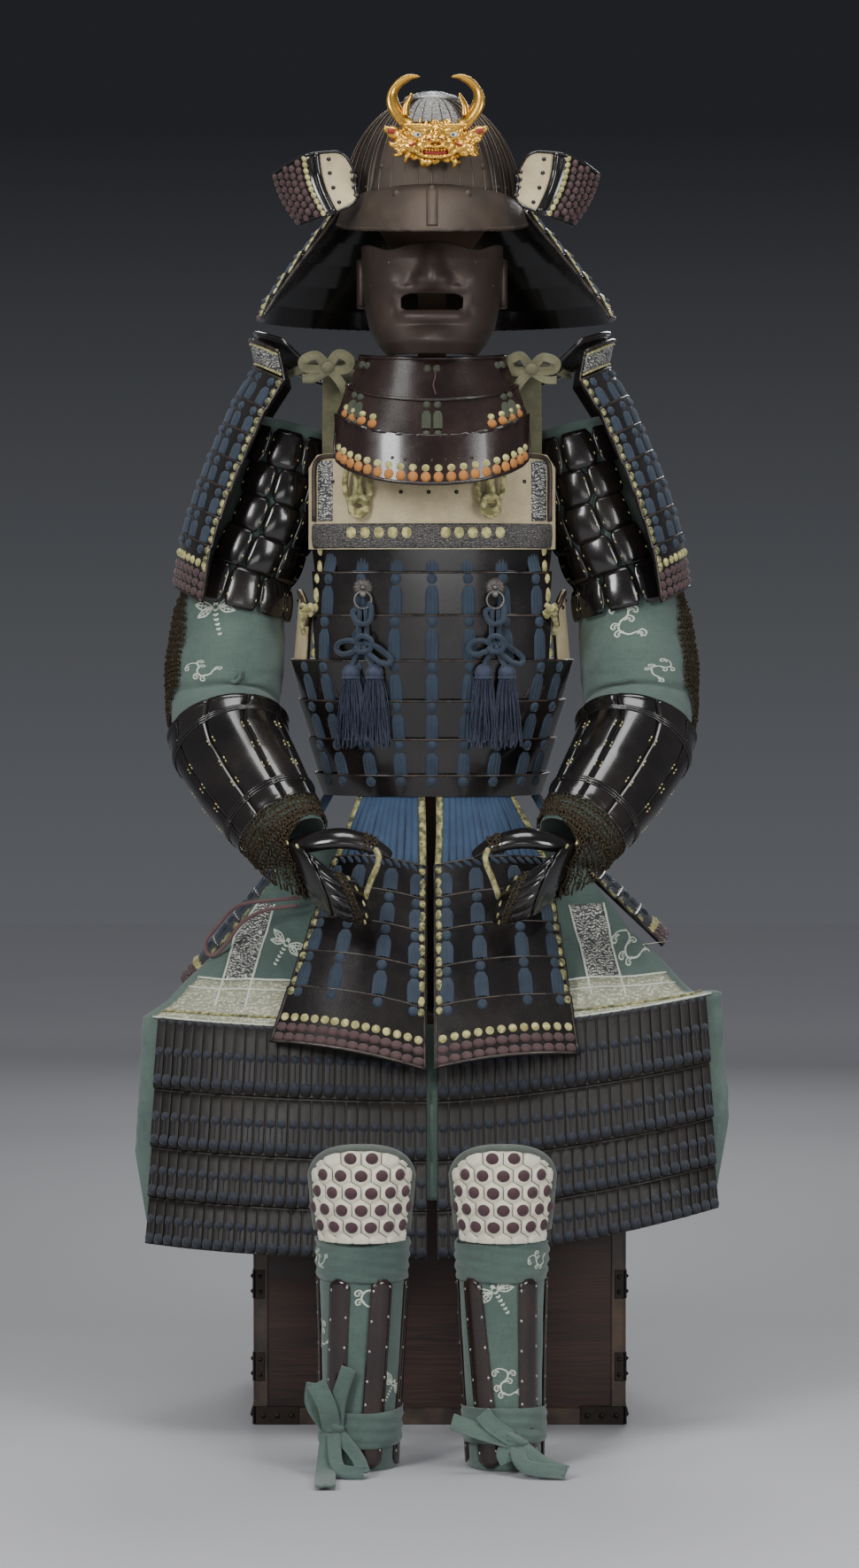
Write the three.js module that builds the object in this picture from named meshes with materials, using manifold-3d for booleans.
// A suit of samurai armour seated on its storage chest: helmet, mask, cuirass, tassets, shoulder
// guards, armoured sleeves, thigh guard and shin guards. Millimetres, +Z up, the front faces -Y.
// The origin is on the floor, under the middle of the whole.
import * as THREE from "three";
import { mergeVertices } from "three/addons/utils/BufferGeometryUtils.js";
import Module from "manifold-3d";

const wasm = await Module();
wasm.setup();

// Driving dimensions
const plate = 2.2; // thickness of a lacquered lame
const lap = 4.6; // how far a lame's top edge stands off the one above it
const overlap = 4; // height that two neighbouring lames share
const cloth = 2; // thickness of the quilted hemp cloth
const gap = 0.6; // air between neighbouring pieces

const chest = { width: 436, depth: 352, height: 490, front: -36, aside: 9, wall: 12, lid: 62, lidPlay: 3 };
const bodyCentre = 130; // the cuirass is centred this far behind the origin
const headCentre = 70;
const legs = { aside: 79, back: -300 };
const settle = 50; // everything above is measured from a point this far in front of the origin

const sides = [["l", -1], ["r", 1]];
const lacquer = { color: 0x0b0b0d, roughness: 0.2, metalness: 0.1 };
const rustBrown = { color: 0x2a2220, roughness: 0.45, metalness: 0.5 };
const brownLacquer = { color: 0x2a1614, roughness: 0.25, metalness: 0.1 };
const leather = { color: 0xb8a47c, roughness: 0.8, metalness: 0 };
const hemp = { color: 0x4f7468, roughness: 0.95, metalness: 0 };
const blueSilk = { color: 0x1d3a5f, roughness: 0.8, metalness: 0 };
const brownSilk = { color: 0x4a2f33, roughness: 0.8, metalness: 0 };
const gilt = { color: 0xd29a35, roughness: 0.25, metalness: 1 };
const quilt = { color: 0xe6e1cc, roughness: 0.9, metalness: 0 };
const redLacquer = { color: 0x2c1210, roughness: 0.35, metalness: 0.05 };
const darkWood = { color: 0x2b2119, roughness: 0.7, metalness: 0 };

const suit = new THREE.Group();
const radians = THREE.MathUtils.degToRad;
const { sin, cos, abs, sign, min, max, PI } = Math;
const point = (x, y, z) => new THREE.Vector3(x, y, z);
const mix = THREE.MathUtils.lerp;

function add(name, geometry, finish) {
  const mesh = new THREE.Mesh(geometry, new THREE.MeshStandardMaterial(finish));
  mesh.name = name;
  suit.add(mesh);
}

// Reads a table, whose rows are sorted on the named column, at any value between its rows.
function between(table, column, value) {
  const rising = table.at(-1)[column] > table[0][column];
  const rows = rising ? table : [...table].reverse();
  let i = 1;
  while (i < rows.length - 1 && rows[i][column] < value) i++;
  const [low, high] = [rows[i - 1], rows[i]];
  const share = min(1, max(0, (value - low[column]) / (high[column] - low[column])));
  return Object.fromEntries(Object.keys(low).map((key) => [key, mix(low[key], high[key], share)]));
}

// A closed wall between two skins. place(column, row, skin) gives a corner; skin 0 is the inner one.
function wall(columns, rows, round, place) {
  const across = round ? columns : columns + 1;
  const corners = [];
  for (const skin of [0, 1])
    for (let row = 0; row <= rows; row++)
      for (let column = 0; column < across; column++) corners.push(...place(column, row, skin).toArray());
  const at = (skin, row, column) => (skin * (rows + 1) + row) * across + (column % across);
  const faces = [];
  const quad = (a, b, c, d) => faces.push(a, b, c, a, c, d);
  for (let column = 0; column < columns; column++) {
    const next = column + 1;
    for (let row = 0; row < rows; row++) {
      quad(at(1, row, column), at(1, row, next), at(1, row + 1, next), at(1, row + 1, column));
      quad(at(0, row, column), at(0, row + 1, column), at(0, row + 1, next), at(0, row, next));
    }
    quad(at(0, 0, column), at(0, 0, next), at(1, 0, next), at(1, 0, column));
    quad(at(0, rows, column), at(1, rows, column), at(1, rows, next), at(0, rows, next));
  }
  if (!round)
    for (let row = 0; row < rows; row++) {
      quad(at(0, row, 0), at(1, row, 0), at(1, row + 1, 0), at(0, row + 1, 0));
      quad(at(0, row, columns), at(0, row + 1, columns), at(1, row + 1, columns), at(1, row, columns));
    }
  return facingOut(corners, faces);
}

// Turns every face round if the closed mesh is inside out.
function facingOut(corners, faces) {
  let volume = 0;
  const corner = (i) => point(...corners.slice(3 * i, 3 * i + 3));
  for (let i = 0; i < faces.length; i += 3)
    volume += corner(faces[i]).dot(corner(faces[i + 1]).cross(corner(faces[i + 2])));
  if (volume < 0) faces.reverse();
  return new THREE.BufferGeometry()
    .setAttribute("position", new THREE.Float32BufferAttribute(corners, 3))
    .setIndex(faces);
}

// A sheet of even thickness on surface(u, v), u from -1 to 1 and v from 0 to 1. levels hold the v of
// each row and how far its inner and outer skins stand off the surface, away from the point inside.
function sheet({ surface, inside, columns, levels, round = false }) {
  const step = 1e-3;
  return wall(columns, levels.length - 1, round, (column, row, skin) => {
    const u = mix(-1, 1, column / columns);
    const { v, inner, outer } = levels[row];
    const here = surface(u, v);
    const along = surface(u + step, v).sub(surface(u - step, v));
    const down = surface(u, min(1, v + step)).sub(surface(u, max(0, v - step)));
    const normal = along.cross(down).normalize();
    if (normal.dot(here.clone().sub(inside(here))) < 0) normal.negate();
    return here.addScaledVector(normal, skin ? outer : inner);
  });
}

const evenLevels = (rows, thickness, stand = 0) =>
  Array.from({ length: rows + 1 }, (_, row) => ({ v: row / rows, inner: stand, outer: stand + thickness }));

// Levels of a panel of lames whose edges are at the shares in tops: each lame's top stands proud.
function steppedLevels(tops, thickness, proud) {
  const ledge = 0.006;
  return tops.slice(0, -1).flatMap((top, i) => [
    { v: i ? top + ledge : top, inner: 0, outer: thickness + proud },
    { v: tops[i + 1], inner: 0, outer: thickness },
  ]);
}

const asSolid = (geometry) => {
  const bare = geometry.clone();
  bare.deleteAttribute("normal");
  bare.deleteAttribute("uv");
  const merged = mergeVertices(bare, 1e-4);
  const vertProperties = new Float32Array(merged.attributes.position.array);
  return new wasm.Manifold(new wasm.Mesh({ numProp: 3, vertProperties, triVerts: new Uint32Array(merged.index.array) }));
};
function asGeometry(solid) {
  const { vertProperties, triVerts } = solid.getMesh();
  return new THREE.BufferGeometry()
    .setAttribute("position", new THREE.BufferAttribute(vertProperties, 3))
    .setIndex(new THREE.BufferAttribute(triVerts, 1));
}
const joined = (...parts) => asGeometry(parts.map(asSolid).reduce((all, part) => all.add(part)));
const cut = (from, ...tools) => asGeometry(tools.map(asSolid).reduce((rest, tool) => rest.subtract(tool), asSolid(from)));

const block = (width, depth, height, x, y, z) => new THREE.BoxGeometry(width, depth, height).translate(x, y, z);

// A closed rod through stations of { at, radius, flat }, flat being its depth as a share of its radius.
function rod(stations, segments, across) {
  const corners = [];
  const faces = [];
  stations.forEach(({ at, radius, flat = 1 }, i) => {
    const before = stations[max(0, i - 1)].at;
    const after = stations[min(stations.length - 1, i + 1)].at;
    const way = after.clone().sub(before).normalize();
    const thin = across.clone().addScaledVector(way, -across.dot(way)).normalize();
    const wide = way.clone().cross(thin);
    for (let k = 0; k < segments; k++) {
      const turn = (2 * PI * k) / segments;
      const corner = at.clone().addScaledVector(wide, radius * cos(turn)).addScaledVector(thin, radius * flat * sin(turn));
      corners.push(...corner.toArray());
    }
  });
  const last = (stations.length - 1) * segments;
  for (let i = 0; i < stations.length - 1; i++)
    for (let k = 0; k < segments; k++) {
      const [a, b] = [i * segments + k, i * segments + ((k + 1) % segments)];
      faces.push(a, b, b + segments, a, b + segments, a + segments);
    }
  for (let k = 1; k < segments - 1; k++) faces.push(0, k + 1, k, last, last + k, last + k + 1);
  return facingOut(corners, faces);
}

// ---- the storage chest and the stand on it ----

function makeChest() {
  const { width, depth, height, front, aside, wall: thick, lid, lidPlay } = chest;
  const middle = front + depth / 2;
  const bodyHeight = height - thick - gap;
  const outside = block(width - 2 * (thick / 2 + lidPlay), depth - 2 * (thick / 2 + lidPlay), bodyHeight, aside, middle, bodyHeight / 2);
  const inside = block(width - 4 * thick, depth - 4 * thick, bodyHeight, aside, middle, thick + bodyHeight / 2);
  // The plinth brings the foot out to the width of the lid.
  const plinth = block(width, depth, 2 * thick, aside, middle, thick);
  const panels = block(width, depth, height - lid - 2 * thick - 2, aside, middle, thick * 2 + (height - lid - 2 * thick - 2) / 2);
  add("chest_body", cut(joined(outside, plinth, panels), inside), redLacquer);
  const lidOutside = block(width, depth, lid, aside, middle, height - lid / 2);
  const lidInside = block(width - thick, depth - thick, lid, aside, middle, height - lid / 2 - thick);
  add("chest_lid", cut(lidOutside, lidInside), redLacquer);
}

const stand = { post: 34, board: 150, boardThick: 14, barWidth: 210, barThick: 26, barTop: 1226, headRadius: 76 };

function makeStand() {
  const foot = chest.height + gap;
  const neckTop = 1400;
  const board = block(stand.board, stand.board, stand.boardThick, 0, bodyCentre, foot + stand.boardThick / 2);
  const post = block(stand.post, stand.post, neckTop - foot, 0, bodyCentre - 20, (neckTop + foot) / 2);
  const bar = block(stand.barWidth, stand.barThick, stand.barThick, 0, bodyCentre - 12, stand.barTop - stand.barThick / 2);
  const profile = [[0, 1384], [44, 1390], [stand.headRadius, 1436], [stand.headRadius - 4, 1484], [52, 1524], [0, 1542]];
  const head = new THREE.LatheGeometry(profile.map(([r, z]) => new THREE.Vector2(r, z)), 16);
  head.rotateX(PI / 2).translate(0, headCentre + 6, 0);
  add("stand", joined(board, post, bar, head), darkWood);
}

// ---- the cuirass ----

const torso = [
  { z: 736, halfWidth: 130, halfDepth: 98, squareness: 2.4 },
  { z: 790, halfWidth: 140, halfDepth: 104, squareness: 2.4 },
  { z: 850, halfWidth: 155, halfDepth: 112, squareness: 2.5 },
  { z: 905, halfWidth: 166, halfDepth: 118, squareness: 2.6 },
  { z: 990, halfWidth: 158, halfDepth: 120, squareness: 2.8 },
  { z: 1045, halfWidth: 150, halfDepth: 118, squareness: 3 },
  { z: 1150, halfWidth: 150, halfDepth: 108, squareness: 3 },
];
const panelHalf = 138; // half the width of the chest and back panels above the armholes
const power = (value, exponent) => sign(value) * abs(value) ** exponent;

// angle 0 is the front and rises towards +X.
function torsoPoint(angle, z) {
  const { halfWidth, halfDepth, squareness } = between(torso, "z", z);
  return point(
    halfWidth * power(sin(angle), 2 / squareness),
    bodyCentre - halfDepth * power(cos(angle), 2 / squareness),
    z,
  );
}
function panelAngle(halfSpan, z) {
  const { halfWidth, squareness } = between(torso, "z", z);
  return Math.asin(min(1, halfSpan / halfWidth) ** (squareness / 2));
}
const torsoAxis = ({ z }) => point(0, bodyCentre, z);
const lameLevels = [
  { v: 0, inner: lap, outer: lap + plate },
  { v: 1, inner: 0, outer: plate },
];

const chestEdges = [1041, 1010, 959, 905]; // top edges of the chest lames, and of the first waist lame
const waistEdges = [905, 857, 811, 768, 742];

function panelSurface(top, bottom, facing) {
  return (u, v) => {
    const z = mix(top, bottom, v);
    const angle = u * panelAngle(panelHalf, z);
    return torsoPoint(facing > 0 ? angle : PI - angle, z);
  };
}

function makeCuirass() {
  for (let i = 0; i < 3; i++) {
    const surface = panelSurface(chestEdges[i], chestEdges[i + 1] - overlap, 1);
    add(`front_lame_${i + 1}`, sheet({ surface, inside: torsoAxis, columns: 12, levels: lameLevels }), lacquer);
  }
  for (let i = 0; i < 4; i++) {
    const bottom = i < 3 ? waistEdges[i + 1] - overlap : waistEdges[i + 1];
    const surface = (u, v) => torsoPoint(u * PI, mix(waistEdges[i], bottom, v));
    add(`waist_lame_${i + 1}`, sheet({ surface, inside: torsoAxis, columns: 28, levels: lameLevels, round: true }), lacquer);
  }
}

// The back above the waist is one node: its three lames as one stepped wall.
function makeBackLames() {
  const top = chestEdges[0];
  const bottom = chestEdges[3] - overlap;
  const tops = [...chestEdges.slice(0, 3), bottom].map((z) => (top - z) / (top - bottom));
  const levels = steppedLevels(tops, plate, plate);
  add("back_lames", sheet({ surface: panelSurface(top, bottom, -1), inside: torsoAxis, columns: 12, levels }), lacquer);
}

const board = { top: 1150, bottom: 1036, stand: 8, thick: 3, corner: 16 };

function makeBoards() {
  for (const [name, facing] of [["chest_board", 1], ["back_board", -1]]) {
    const surface = (u, v) => {
      const rounding = board.corner * max(0, (abs(u) - 0.8) / 0.2) ** 2;
      const z = mix(board.top - rounding, board.bottom, v);
      const angle = u * panelAngle(panelHalf, z);
      return torsoPoint(facing > 0 ? angle : PI - angle, z);
    };
    add(name, sheet({ surface, inside: torsoAxis, columns: 14, levels: evenLevels(2, board.thick, board.stand) }), leather);
  }
}

const armpit = { from: 62, to: 118, top: 990, bottom: 902, thick: 2.4 };

function makeArmpitBoards() {
  for (const [side, out] of sides) {
    const surface = (u, v) => {
      const angle = radians(mix(armpit.from, armpit.to, (u + 1) / 2));
      const top = mix(armpit.bottom + 46, armpit.top, max(0, 1 - u * u) ** 0.5);
      return torsoPoint(out * angle, mix(top, armpit.bottom, v));
    };
    add(`armpit_board_${side}`, sheet({ surface, inside: torsoAxis, columns: 8, levels: evenLevels(1, armpit.thick) }), leather);
  }
}

const strap = { aside: 106, width: 50, thick: 5 };
const strapPath = [
  { along: 0, y: 48, z: 1122 },
  { along: 1, y: 54, z: 1186 },
  { along: 2, y: 74, z: 1240 },
  { along: 3, y: 118, z: 1258 },
  { along: 4, y: 164, z: 1240 },
  { along: 5, y: 196, z: 1188 },
  { along: 6, y: 204, z: 1122 },
];

function makeStraps() {
  for (const [side, out] of sides) {
    const surface = (u, v) => {
      const { y, z } = between(strapPath, "along", 6 * v);
      return point(out * (strap.aside + (u * strap.width) / 2), y, z);
    };
    const inside = () => point(out * strap.aside, 120, 1130);
    add(`shoulder_strap_${side}`, sheet({ surface, inside, columns: 2, levels: evenLevels(6, strap.thick) }), leather);
  }
}

// ---- tassets and the laces they hang from ----

const lameTops = [0, 0.165, 0.33, 0.51, 0.7, 1]; // shares of a tasset's length

// Each tasset is set by its four corners: x, y and z of the top's two ends and of the bottom's.
const tassets = {
  tasset_front_l: { top: [[-116, 26, 668], [-7, 0, 658]], bottom: [[-190, -84, 458], [-7, -122, 428]], bow: 16, seg: 6 },
  tasset_front_r: { top: [[3, 0, 660], [138, 30, 666]], bottom: [[3, -122, 430], [172, -92, 444]], bow: 16, seg: 6 },
  tasset_side_l: { top: [[-158, 84, 668], [-158, 176, 668]], bottom: [[-292, 52, 508], [-292, 196, 508]], bow: 14, seg: 5 },
  tasset_side_r: { top: [[158, 84, 672], [158, 176, 672]], bottom: [[276, 62, 560], [276, 206, 560]], bow: 14, seg: 5 },
  tasset_back_l: { top: [[-104, 238, 662], [-5, 262, 656]], bottom: [[-168, 336, 452], [-5, 352, 444]], bow: 12, seg: 6 },
  tasset_back_r: { top: [[5, 262, 656], [104, 238, 662]], bottom: [[5, 352, 444], [168, 336, 452]], bow: 12, seg: 6 },
};

function tassetSurface({ top, bottom, bow }) {
  const [topA, topB, bottomA, bottomB] = [...top, ...bottom].map((corner) => point(...corner));
  const away = topA.clone().add(topB).sub(bottomA).sub(bottomB).cross(topB.clone().sub(topA)).normalize();
  const middle = topA.clone().add(topB).add(bottomA).add(bottomB).multiplyScalar(0.25);
  if (away.dot(middle.clone().sub(point(0, bodyCentre, middle.z))) < 0) away.negate();
  return (u, v) => {
    const share = (u + 1) / 2;
    const upper = topA.clone().lerp(topB, share);
    const lower = bottomA.clone().lerp(bottomB, share);
    return upper.lerp(lower, v).addScaledVector(away, bow * (1 - u * u));
  };
}

function makeTassets() {
  for (const [name, form] of Object.entries(tassets)) {
    const inside = ({ z }) => point(0, bodyCentre, z - 200);
    const levels = steppedLevels(lameTops, plate, plate);
    add(name, sheet({ surface: tassetSurface(form), inside, columns: form.seg, levels }), lacquer);
  }
}

// One skirt of laces: a band under the cuirass, from which six curtains run to the tassets.
function makeWaistLacing() {
  const bandTop = 750;
  const bandBottom = 737;
  const bandInset = 6;
  const laceThick = 3;
  const band = sheet({
    surface: (u, v) => torsoPoint(u * PI, mix(bandTop, bandBottom, v)),
    inside: torsoAxis,
    columns: 28,
    levels: evenLevels(1, laceThick, -bandInset - laceThick / 2),
    round: true,
  });
  const curtains = Object.values(tassets).map(({ top, bottom, bow, seg }) => {
    const hang = tassetSurface({ top, bottom, bow });
    const surface = (u, v) => {
      const foot = hang(u * 0.97, 0);
      foot.z += 2;
      const angle = Math.atan2(foot.x / 1.35, bodyCentre - foot.y);
      const head = torsoPoint(angle, bandBottom + 6);
      head.lerp(point(0, bodyCentre, head.z), bandInset / torsoPoint(angle, head.z).distanceTo(point(0, bodyCentre, head.z)));
      return head.lerp(foot, v);
    };
    return sheet({ surface, inside: torsoAxis, columns: seg, levels: evenLevels(1, laceThick, -laceThick / 2) });
  });
  add("waist_lacing", joined(band, ...curtains), blueSilk);
}

// ---- shoulder guards ----

const guardReach = [
  { z: 1292, out: 216 },
  { z: 1256, out: 211 },
  { z: 1220, out: 234 },
  { z: 1190, out: 248 },
  { z: 1156, out: 263 },
  { z: 1127, out: 275 },
  { z: 1093, out: 287 },
  { z: 1058, out: 298 },
  { z: 1024, out: 305 },
  { z: 992, out: 310 },
];
const guardEdges = [1292, 1256, 1222, 1190, 1157, 1125, 1092, 1058, 992];
const guard = { radius: 130, span: 45, drop: 66, centre: 122 };

function makeShoulderGuards() {
  for (const [side, out] of sides) {
    const [top, bottom] = [guardEdges[0], guardEdges.at(-1)];
    const surface = (u, v) => {
      const z = mix(top, bottom, v);
      const angle = radians(u * guard.span);
      const { out: reach } = between(guardReach, "z", z);
      const x = reach - guard.radius * (1 - cos(angle));
      return point(out * x, guard.centre + guard.radius * sin(angle), z - guard.drop * (1 - cos(angle)));
    };
    const inside = ({ z }) => point(out * 130, guard.centre, z);
    const levels = steppedLevels(guardEdges.map((z) => (top - z) / (top - bottom)), plate, plate);
    add(`shoulder_guard_${side}`, sheet({ surface, inside, columns: 8, levels }), lacquer);
  }
}

// ---- sleeves, arm plates and hands ----

const armLine = [
  { t: 0, x: 168, y: 134, z: 1188, r: 48, flat: 1 },
  { t: 1, x: 180, y: 132, z: 1140, r: 55, flat: 0.98 },
  { t: 2, x: 199, y: 129, z: 1080, r: 58, flat: 0.96 },
  { t: 3, x: 229, y: 125, z: 1010, r: 56, flat: 1 },
  { t: 4, x: 244, y: 122, z: 950, r: 67, flat: 0.95 },
  { t: 5, x: 249, y: 118, z: 892, r: 71, flat: 0.92 },
  { t: 6, x: 251, y: 104, z: 845, r: 67, flat: 0.9 },
  { t: 7, x: 241, y: 62, z: 800, r: 65, flat: 0.88 },
  { t: 8, x: 213, y: 10, z: 756, r: 60, flat: 0.85 },
  { t: 9, x: 184, y: -36, z: 716, r: 52, flat: 0.8 },
  { t: 10, x: 164, y: -60, z: 690, r: 45, flat: 0.75 },
];

// A point on the arm: t along it, turn round it from the front towards the outside, lifted off it.
function armPoint(out, t, turn, lift) {
  const step = 0.35;
  const here = between(armLine, "t", t);
  const [before, after] = [between(armLine, "t", max(0, t - step)), between(armLine, "t", min(10, t + step))];
  const way = point(after.x - before.x, after.y - before.y, after.z - before.z).normalize();
  const front = point(0, -1, 0).addScaledVector(way, way.y).normalize();
  const outer = front.clone().cross(way).negate();
  const radius = here.r + lift;
  const at = point(here.x, here.y, here.z)
    .addScaledVector(front, radius * here.flat * cos(turn))
    .addScaledVector(outer, radius * sin(turn));
  at.x *= out;
  return at;
}

function armWall(out, columns, rows, round, place) {
  return wall(columns, rows, round, (column, row, skin) => {
    const { t, turn, low, high } = place(column / columns, row);
    return armPoint(out, t, turn, skin ? high : low);
  });
}

function makeSleeves() {
  const rings = [0, 1, 2, 3, 4, 5, 6, 7, 8, 9, 10];
  for (const [side, out] of sides) {
    const place = (share, row) => ({ t: rings[row], turn: 2 * PI * share, low: -cloth, high: 0 });
    add(`sleeve_${side}`, armWall(out, 12, rings.length - 1, true, place), hemp);
  }
}

const armPlates = { to: 150, lift: 4, thick: 2.4, proud: 1.6 };
const armPlateRows = [
  { t: 0.25, from: -62 },
  { t: 1.12, from: -40 },
  { t: 1.77, from: -36 },
  { t: 2.37, from: -40 },
  { t: 2.96, from: -48 },
  { t: 3.73, from: -50 },
];

function makeArmPlates() {
  const { to, lift, thick, proud } = armPlates;
  const levels = armPlateRows.slice(0, -1).flatMap(({ t }, i) => [
    { t: i ? t + 0.02 : t, high: thick + proud },
    { t: armPlateRows[i + 1].t, high: thick },
  ]);
  for (const [side, out] of sides) {
    const place = (share, row) => {
      const { t, high } = levels[row];
      const { from } = between(armPlateRows, "t", t);
      return { t, turn: radians(mix(from, to, share)), low: lift, high: lift + high };
    };
    add(`arm_plates_${side}`, armWall(out, 10, levels.length - 1, false, place), lacquer);
  }
}

const forearm = { rings: [6.6, 7, 7.6, 8.3, 9.2], from: -132, to: 150, lift: 3, thick: 2.6, flare: 3 };

function makeForearmGuards() {
  const { rings, from, to, lift, thick, flare } = forearm;
  for (const [side, out] of sides) {
    const place = (share, row) => {
      const low = lift + flare * max(0, 1 - row);
      return { t: rings[row], turn: radians(mix(from, to, share)), low, high: low + thick };
    };
    add(`forearm_guard_${side}`, armWall(out, 14, rings.length - 1, false, place), lacquer);
  }
}

// The hand plate's middle line from the wrist to the fingertips, which lie inwards and down.
const handRows = [
  { x: 166, y: -72, z: 664, half: 33, arch: 8 },
  { x: 136, y: -108, z: 648, half: 43, arch: 20 },
  { x: 104, y: -104, z: 630, half: 33, arch: 18 },
  { x: 80, y: -86, z: 626, half: 27, arch: 12 },
];
const hand = { thick: 2.4, across: [-0.38, 0.05, -0.92], facing: [-0.12, -0.97, 0.2], curl: 1.15 };
const thumb = [
  { x: 165, y: -80, z: 686, radius: 12 },
  { x: 138, y: -96, z: 694, radius: 14 },
  { x: 104, y: -103, z: 698, radius: 14 },
  { x: 70, y: -100, z: 690, radius: 11 },
  { x: 48, y: -95, z: 678, radius: 5 },
];

function makeHands() {
  const across = point(...hand.across).normalize();
  const facing = point(...hand.facing).normalize();
  for (const [side, out] of sides) {
    const place = (column, row, skin) => {
      const { x, y, z, half, arch } = handRows[row];
      const turn = mix(-hand.curl, hand.curl, column / 6);
      const lift = skin ? hand.thick : 0;
      const at = point(x, y, z)
        .addScaledVector(across, ((half + lift) * sin(turn)) / sin(hand.curl))
        .addScaledVector(facing, lift - (arch * (1 - cos(turn))) / (1 - cos(hand.curl)));
      at.x *= out;
      return at;
    };
    const back = wall(6, handRows.length - 1, false, place);
    const stations = thumb.map(({ x, y, z, radius }) => ({ at: point(out * x, y, z), radius, flat: 0.45 }));
    add(`hand_guard_${side}`, joined(back, rod(stations, 8, point(0, -1, 0))), lacquer);
  }
}

// ---- helmet ----

const bowl = { rim: 1444, top: 1578, halfWidth: 104, halfDepth: 121, thick: 2.4, ribs: 24 };

function makeBowl() {
  const rings = [0, 18, 36, 54, 70, 82];
  const crown = 86;
  const place = (column, row, skin) => {
    const rise = radians(rings[row]);
    const turn = (2 * PI * column) / bowl.ribs;
    const lift = skin ? 0 : -bowl.thick;
    return point(
      (bowl.halfWidth + lift) * cos(rise) * sin(turn),
      headCentre - (bowl.halfDepth + lift) * cos(rise) * cos(turn),
      bowl.rim + (bowl.top - bowl.rim + lift) * sin(rise),
    );
  };
  const shell = wall(bowl.ribs, rings.length - 1, true, place);
  const ringRadius = bowl.halfWidth * cos(radians(crown)) + 16;
  const profile = [[7, -6], [ringRadius + 3, -6], [ringRadius, 0], [ringRadius - 5, 5], [11, 9], [7, 9], [7, -6]];
  const boss = new THREE.LatheGeometry(profile.map(([r, z]) => new THREE.Vector2(r, z)), 16);
  boss.rotateX(PI / 2).translate(0, headCentre, bowl.top - 4);
  add("helmet_bowl", joined(shell, boss), rustBrown);
}

const visor = { span: 74, rise: 1460, reach: 62, rim: 1402, thick: 2.4, stand: 1.2 };

function makeVisor() {
  const surface = (u, v) => {
    const angle = radians(u * visor.span);
    const rootHeight = mix(visor.rise, bowl.rim + 2, u * u);
    const slope = Math.asin(max(0, (rootHeight - bowl.rim) / (bowl.top - bowl.rim)));
    const root = point(
      bowl.halfWidth * cos(slope) * sin(angle),
      headCentre - bowl.halfDepth * cos(slope) * cos(angle),
      rootHeight,
    );
    const reach = visor.reach * (0.28 + 0.72 * cos(angle) ** 1.5);
    const rim = point((bowl.halfWidth + 12) * sin(angle), headCentre - (bowl.halfDepth + reach) * cos(angle), mix(visor.rim, 1420, u * u));
    const bulge = 9 * sin(PI * v) * cos(angle);
    return root.lerp(rim, v).add(point(0, -bulge * 0.6, bulge));
  };
  const inside = () => point(0, headCentre, 1380);
  add("visor", sheet({ surface, inside, columns: 14, levels: evenLevels(3, visor.thick, visor.stand) }), rustBrown);
}

const crest = { aside: 4, y: -68, bottom: 1486, top: 1537, halfWidth: 66, thick: 16, hornThick: 9 };

function makeCrest() {
  const { aside, y, bottom, top, halfWidth, thick, hornThick } = crest;
  const slab = (shape, depth, at) =>
    new THREE.ExtrudeGeometry(shape, { depth, bevelEnabled: false, curveSegments: 5 })
      .rotateX(PI / 2)
      .translate(aside, at + depth, 0);
  const face = new THREE.Shape();
  face.moveTo(-halfWidth * 0.72, bottom);
  face.lineTo(halfWidth * 0.72, bottom);
  face.quadraticCurveTo(halfWidth * 1.05, bottom + 14, halfWidth, mix(bottom, top, 0.7));
  face.quadraticCurveTo(halfWidth * 0.8, top, 0, top + 2);
  face.quadraticCurveTo(-halfWidth * 0.8, top, -halfWidth, mix(bottom, top, 0.7));
  face.quadraticCurveTo(-halfWidth * 1.05, bottom + 14, -halfWidth * 0.72, bottom);
  const horns = sides.map(([, out]) => {
    const horn = new THREE.Shape();
    horn.moveTo(out * 30, top - 6);
    horn.lineTo(out * 46, top - 6);
    horn.quadraticCurveTo(out * 64, top + 32, out * 18, top + 50);
    horn.lineTo(out * 18, top + 46);
    horn.quadraticCurveTo(out * 38, top + 30, out * 30, top - 6);
    return slab(horn, hornThick, y + 4);
  });
  // The prong behind the crest runs down to the visor's front plate.
  const prong = block(12, 4, 36, aside, y + thick, bottom + 6);
  add("crest", joined(slab(face, thick, y), prong, ...horns), gilt);
}

const neck = { from: 76, lames: 5, top: 1440, bottom: 1310, aside: 5 };
const neckReach = [
  { z: 1440, halfWidth: 112, halfDepth: 128 },
  { z: 1414, halfWidth: 133, halfDepth: 143 },
  { z: 1388, halfWidth: 155, halfDepth: 158 },
  { z: 1362, halfWidth: 176, halfDepth: 172 },
  { z: 1336, halfWidth: 196, halfDepth: 184 },
  { z: 1310, halfWidth: 213, halfDepth: 194 },
];

function makeNeckGuard() {
  const height = (neck.top - neck.bottom) / neck.lames;
  const share = overlap / height;
  for (let i = 0; i < neck.lames; i++) {
    const surface = (u, v) => {
      const z = neck.top - height * (i + v * (1 + (i < neck.lames - 1 ? share : 0)));
      const { halfWidth, halfDepth } = between(neckReach, "z", z);
      const angle = PI + u * (PI - radians(neck.from));
      return point(neck.aside * (neck.top - z) / (neck.top - neck.bottom) - halfWidth * sin(angle), headCentre - halfDepth * cos(angle), z);
    };
    const inside = ({ z }) => point(0, headCentre, z - 120);
    add(`neck_lame_${i + 1}`, sheet({ surface, inside, columns: 20, levels: lameLevels }), lacquer);
  }
}

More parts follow.
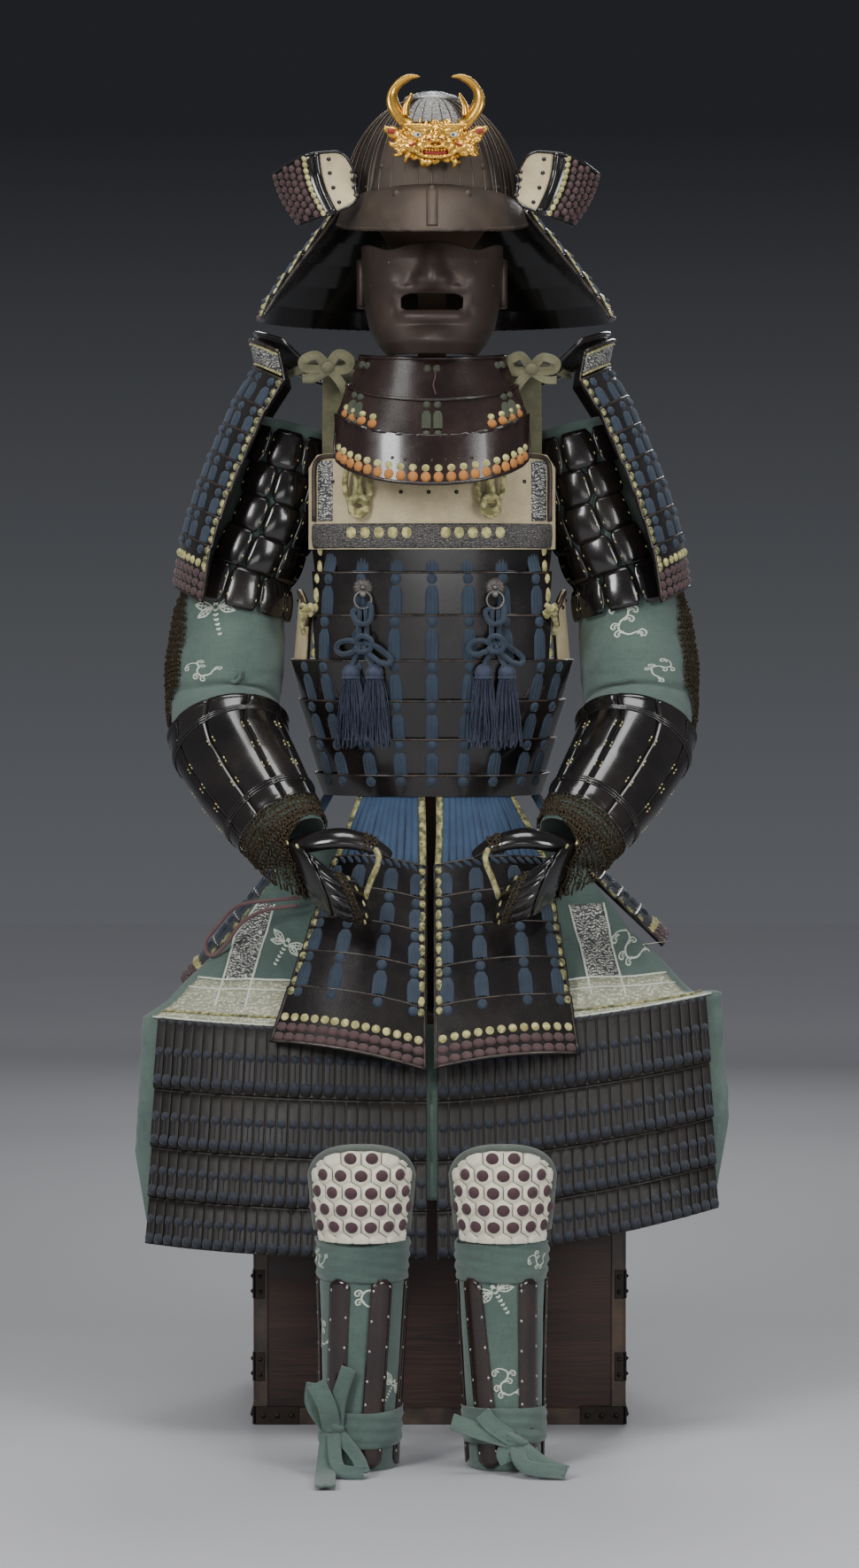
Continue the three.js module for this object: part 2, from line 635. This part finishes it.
// The turned-back fronts of the upper neck lames, from the temple outwards.
const turnbackRows = [
  { s: 0, topX: 94, topZ: 1476, footX: 93, footZ: 1446, y: -22 },
  { s: 0.22, topX: 110, topZ: 1503, footX: 99, footZ: 1437, y: -32 },
  { s: 0.5, topX: 150, topZ: 1499, footX: 125, footZ: 1425, y: -38 },
  { s: 0.75, topX: 171, topZ: 1490, footX: 143, footZ: 1421, y: -26 },
  { s: 1, topX: 191, topZ: 1478, footX: 159, footZ: 1418, y: 0 },
];

function makeTurnbacks() {
  for (const [side, out] of sides) {
    const surface = (u, v) => {
      const { topX, topZ, footX, footZ, y } = between(turnbackRows, "s", (u + 1) / 2);
      const bow = sin(PI * v);
      return point(neck.aside + out * (mix(topX, footX, v) + 5 * bow), y + 6 * bow - 10 * v, mix(topZ, footZ, v));
    };
    const inside = () => point(out * 140, 200, 1440);
    add(`turnback_${side}`, sheet({ surface, inside, columns: 8, levels: evenLevels(3, 2.6) }), leather);
  }
}

// ---- mask and throat guard ----

const maskRows = [
  { z: 1266, halfWidth: 50, front: -50 },
  { z: 1280, halfWidth: 62, front: -62 },
  { z: 1298, halfWidth: 72, front: -52 },
  { z: 1324, halfWidth: 78, front: -47 },
  { z: 1350, halfWidth: 81, front: -48 },
  { z: 1376, halfWidth: 82, front: -40 },
  { z: 1396, halfWidth: 82, front: -30 },
];
const mask = { thick: 2.4, ears: 46, mouthWidth: 72, mouthLow: 1314, mouthHigh: 1336, noseTop: 1388, noseFoot: 1344 };

function makeMask() {
  const place = (column, row, skin) => {
    const { z, halfWidth, front } = maskRows[row];
    const turn = radians(mix(-84, 84, column / 12));
    const lift = skin ? mask.thick : 0;
    const rise = row === maskRows.length - 1 ? -12 * (1 - abs(column - 6) / 6) : 0;
    return point((halfWidth + lift) * sin(turn), mask.ears - (mask.ears - front + lift) * cos(turn) ** 0.9, z + rise);
  };
  const face = wall(12, maskRows.length - 1, false, place);
  const slotHeight = mask.mouthHigh - mask.mouthLow;
  const slot = block(mask.mouthWidth, 90, slotHeight, 0, -60, (mask.mouthHigh + mask.mouthLow) / 2);
  const nose = rod(
    [
      { at: point(0, -36, mask.noseTop), radius: 7 },
      { at: point(0, -52, 1372), radius: 10 },
      { at: point(0, -60, 1356), radius: 20, flat: 0.62 },
      { at: point(0, -54, mask.noseFoot), radius: 18, flat: 0.5 },
    ],
    8,
    point(0, -1, 0),
  );
  const ears = sides.map(([, out]) =>
    rod(
      [
        { at: point(out * 77, 26, 1302), radius: 7, flat: 0.6 },
        { at: point(out * 83, 26, 1318), radius: 13, flat: 0.5 },
        { at: point(out * 87, 32, 1350), radius: 18, flat: 0.4 },
        { at: point(out * 85, 34, 1372), radius: 10, flat: 0.5 },
      ],
      8,
      point(out, 0, 0),
    ),
  );
  const hollow = block(150, 90, 150, 0, 20, 1330);
  add("mask", joined(cut(face, slot), cut(nose, hollow), ...ears), rustBrown);
}

const throatEdges = [
  { half: 82, front: -20, z: 1260, rise: 6, depth: 58 },
  { half: 98, front: -38, z: 1208, rise: 26, depth: 66 },
  { half: 112, front: -55, z: 1166, rise: 38, depth: 72 },
  { half: 114, front: -72, z: 1110, rise: 40, depth: 78 },
];

function makeThroatGuard() {
  for (let i = 0; i < 3; i++) {
    const [upper, lower] = [throatEdges[i], throatEdges[i + 1]];
    const surface = (u, v) => {
      const share = v * (i < 2 ? 1.08 : 1);
      const edge = (key) => mix(upper[key], lower[key], share);
      const turn = radians(78 * u);
      const back = 1 - cos(turn);
      return point(edge("half") * sin(turn), edge("front") + edge("depth") * back, edge("z") + edge("rise") * back);
    };
    const inside = ({ z }) => point(0, 60, z);
    add(`throat_lame_${i + 1}`, sheet({ surface, inside, columns: 12, levels: lameLevels }), brownLacquer);
  }
}

// ---- thigh guard ----

// One side of the apron, from its middle (share 0) outwards. v runs from the waist to the top edge of
// the scales at 1 and to their foot at 2.
const lapRows = [
  { v: 0, y: 52, z: 690, half: 144, back: 12 },
  { v: 0.5, y: 2, z: 574, half: 222, back: 50 },
  { v: 0.85, y: -58, z: 500, half: 292, back: 62 },
  { v: 1, y: -72, z: 470, half: 322, back: 76 },
  { v: 2, y: -142, z: 210, half: 332, back: 80 },
];
// How much higher the outer end hangs than the middle.
const lapRise = {
  l: [{ v: 0, rise: 0 }, { v: 0.85, rise: 0 }, { v: 1, rise: 8 }, { v: 2, rise: 8 }],
  r: [{ v: 0, rise: 0 }, { v: 0.85, rise: 6 }, { v: 1, rise: 34 }, { v: 2, rise: 50 }],
};
const lapMiddle = 6; // half of the slit between the two sides

function lapPoint(side, out, share, v) {
  const { y, z, half, back } = between(lapRows, "v", v);
  const { rise } = between(lapRise[side], "v", v);
  const outwards = max(0, share);
  const x = mix(lapMiddle, half, share);
  return point(out * x, y + back * outwards ** 3.2, z + rise * outwards ** 1.3);
}
const lapInside = ({ x, z }) => point(x, 400, z - 100);

// The cloth backs the scales, ends a little above their foot and reaches past them at the sides.
const lapCloth = { foot: 1.96, outerFoot: 1.6, reach: 1.07 };
const lapColumns = 7; // to the outer edge of the scales, which the cloth passes by one more
const lapLevels = [0, 0.25, 0.5, 0.7, 0.85, 1, 1.4, 2];

function makeThighCloth() {
  const levels = lapLevels.map((v) => ({ v: v / 2, inner: 0, outer: cloth }));
  const sheets = sides.map(([side, out]) => {
    const surface = (u, v) => {
      const across = ((u + 1) / 2) * (1 + 1 / lapColumns);
      const share = across <= 1 ? across : 1 + (across - 1) * lapColumns * (lapCloth.reach - 1);
      const foot = across <= 1 ? lapCloth.foot : mix(lapCloth.foot, lapCloth.outerFoot, (across - 1) * lapColumns);
      return lapPoint(side, out, share, v < 0.5 ? 2 * v : mix(1, foot, 2 * v - 1));
    };
    return sheet({ surface, inside: lapInside, columns: lapColumns + 1, levels });
  });
  const waistband = sheet({
    surface: (u, v) => lapPoint("l", 1, abs(u), 0.08 * v).multiply(point(sign(u) || 1, 1, 1)),
    inside: lapInside,
    columns: 14,
    levels: evenLevels(1, cloth + 1, -0.5),
  });
  add("thigh_cloth", joined(waistband, ...sheets), hemp);
}

const scales = { thick: 3.4, proud: 3, rows: [0, 0.31, 0.57, 0.79, 1] };

function makeThighPanels() {
  const { thick, proud, rows } = scales;
  const off = cloth + gap;
  for (const [side, out] of sides) {
    const surface = (u, v) => lapPoint(side, out, (u + 1) / 2, 1 + v);
    // Here each row of scales hangs over the next, so its foot is what stands proud.
    const levels = rows.slice(0, -1).flatMap((top, i) => [
      { v: i ? top + 0.005 : top, inner: off, outer: off + thick },
      { v: rows[i + 1], inner: off, outer: off + thick + proud },
    ]);
    add(`thigh_panel_${side}`, sheet({ surface, inside: lapInside, columns: lapColumns, levels }), lacquer);
  }
}

// ---- shin guards ----

const shinRows = [
  { z: 0, half: 40, deep: 40, x: 82 },
  { z: 60, half: 42, deep: 41, x: 81 },
  { z: 150, half: 45, deep: 44, x: 79 },
  { z: 246, half: 49, deep: 47, x: 78 },
  { z: 262, half: 50, deep: 48, x: 78 },
];

function shinPoint(out, z, turn, lift) {
  const { half, deep, x } = between(shinRows, "z", z);
  return point(out * (x + (half + lift) * sin(turn)), legs.back - (deep + lift) * cos(turn), z);
}

function shinWall(out, heights, from, to, columns, low, high, round = false) {
  return wall(columns, heights.length - 1, round, (column, row, skin) =>
    shinPoint(out, heights[row], radians(mix(from, to, column / columns)), skin ? high : low),
  );
}

function makeShinGuards() {
  const open = 138; // degrees from the front to each back edge
  for (const [side, out] of sides) {
    const shell = shinWall(out, [0, 60, 150, 246], -open, open, 10, -cloth, 1.2);
    const band = shinWall(out, [214, 232, 256], -180, 180, 12, 0.6, 4.6, true);
    add(`shin_guard_${side}`, joined(shell, band), hemp);
  }
}

const knee = { foot: 260, top: 366, halfFoot: 49, halfTop: 60, thick: 6, bulge: 8 };

function makeKneeGuards() {
  for (const [side, out] of sides) {
    const surface = (u, v) => {
      const turn = radians(74 * u);
      const crown = mix(knee.top, knee.top - 34, abs(u) ** 2.4);
      const z = mix(crown, knee.foot, v);
      const share = (z - knee.foot) / (knee.top - knee.foot);
      const half = mix(knee.halfFoot, knee.halfTop, share ** 0.8);
      const forward = 54 + knee.bulge * sin(PI * share);
      return point(out * 79 + half * sin(turn) * 1.03, legs.back - forward * cos(turn), z);
    };
    const inside = ({ z }) => point(out * 79, legs.back + 20, z);
    add(`knee_guard_${side}`, sheet({ surface, inside, columns: 10, levels: evenLevels(4, knee.thick) }), quilt);
  }
}

// Each shin is tied low down. The bow's knot, loops and ends lie in front, some of them on the floor.
const bows = {
  l: {
    knot: [-112, -341, 50],
    strips: [
      { half: 11, route: [[-114, -344, 50], [-131, -352, 78], [-130, -354, 102]] },
      { half: 11, route: [[-112, -350, 50], [-118, -358, 78], [-130, -354, 102]] },
      { half: 9, route: [[-108, -346, 50], [-104, -350, 84], [-93, -352, 119]] },
      { half: 12, route: [[-113, -346, 48], [-117, -370, 15], [-118, -400, 5.5], [-117, -454, 5]] },
      { half: 8, route: [[-106, -346, 46], [-84, -366, 22], [-76, -386, 7]] },
      { half: 8, route: [[-110, -350, 44], [-104, -382, 12], [-76, -386, 7]] },
    ],
  },
  r: {
    knot: [93, -347, 35],
    strips: [
      { half: 10, route: [[90, -351, 36], [58, -354, 46], [22, -358, 60]] },
      { half: 10, route: [[88, -352, 40], [68, -353, 54], [56, -352, 68]] },
      { half: 9, route: [[96, -352, 34], [120, -372, 18], [148, -390, 9]] },
      { half: 9, route: [[94, -354, 32], [104, -382, 14], [148, -390, 9]] },
      { half: 9, route: [[90, -353, 34], [80, -358, 24], [84, -363, 14]] },
    ],
  },
};
const bandHeights = [30, 44, 68];

function makeShinTies() {
  const thin = point(0, -1, 0.6);
  for (const [side, out] of sides) {
    const { knot, strips } = bows[side];
    const ring = shinWall(out, bandHeights, -180, 180, 12, 4, 7, true);
    const ribbons = strips.map(({ half, route }) =>
      rod(route.map((at) => ({ at: point(...at), radius: half, flat: 3 / half })), 6, thin),
    );
    const [x, y, z] = knot;
    const bulb = rod(
      [-12, 0, 12].map((dx) => ({ at: point(x + dx, y - (dx ? 2 : 5), z), radius: dx ? 7 : 10, flat: 0.8 })),
      8,
      point(0, -1, 0),
    );
    add(`shin_tie_${side}`, joined(ring, bulb, ...ribbons), hemp);
  }
}

// ---- the two corded tassels on the chest ----

const tassel = { aside: 79, ring: 992 };
const tasselRows = [
  { z: 1002, half: 6, out: 9, deep: 3 },
  { z: 992, half: 13, out: 10, deep: 4 },
  { z: 978, half: 13, out: 10, deep: 4 },
  { z: 962, half: 9, out: 12, deep: 4 },
  { z: 932, half: 26, out: 13, deep: 5 },
  { z: 908, half: 26, out: 13, deep: 5 },
  { z: 894, half: 16, out: 15, deep: 7 },
  { z: 850, half: 28, out: 17, deep: 9 },
  { z: 802, half: 32, out: 20, deep: 10 },
];

function makeTassels() {
  for (const [side, out] of sides) {
    const place = (column, row, skin) => {
      const { z, half, out: stand, deep } = tasselRows[row];
      const x = tassel.aside + mix(-half, half, column / 3);
      const angle = panelAngle(x, z);
      const at = torsoPoint(out * angle, z);
      at.y -= stand + (skin ? deep : 0);
      return at;
    };
    add(`tassel_${side}`, wall(3, tasselRows.length - 1, false, place), blueSilk);
  }
}

// ---- the cord that hangs in a loop at the hip ----

const hipCord = {
  radius: 2.2,
  steps: 32,
  route: [
    [-158, 12, 622],
    [-186, 14, 619],
    [-214, 20, 616],
    [-233, 28, 610],
    [-256, 36, 587],
    [-271, 40, 563],
    [-265, 40, 551],
    [-250, 36, 561],
    [-228, 28, 590],
    [-206, 18, 604],
    [-182, 12, 610],
    [-160, 8, 613],
  ],
};

function makeHipCord() {
  const { radius, steps, route } = hipCord;
  const section = new THREE.Shape().absarc(0, 0, radius, 0, 2 * PI);
  const extrudePath = new THREE.CatmullRomCurve3(route.map((at) => point(...at)));
  add("hip_cord", new THREE.ExtrudeGeometry(section, { steps, extrudePath, curveSegments: 4 }), brownSilk);
}

makeChest();
makeStand();
makeCuirass();
makeBackLames();
makeBoards();
makeArmpitBoards();
makeStraps();
makeTassets();
makeWaistLacing();
makeShoulderGuards();
makeSleeves();
makeArmPlates();
makeForearmGuards();
makeHands();
makeBowl();
makeVisor();
makeCrest();
makeNeckGuard();
makeTurnbacks();
makeMask();
makeThroatGuard();
makeThighCloth();
makeThighPanels();
makeShinGuards();
makeKneeGuards();
makeShinTies();
makeTassels();
makeHipCord();

// The bows' ends reach further forward than the skirt does back, so the whole is moved to its middle.
suit.position.y = settle;

export default suit;
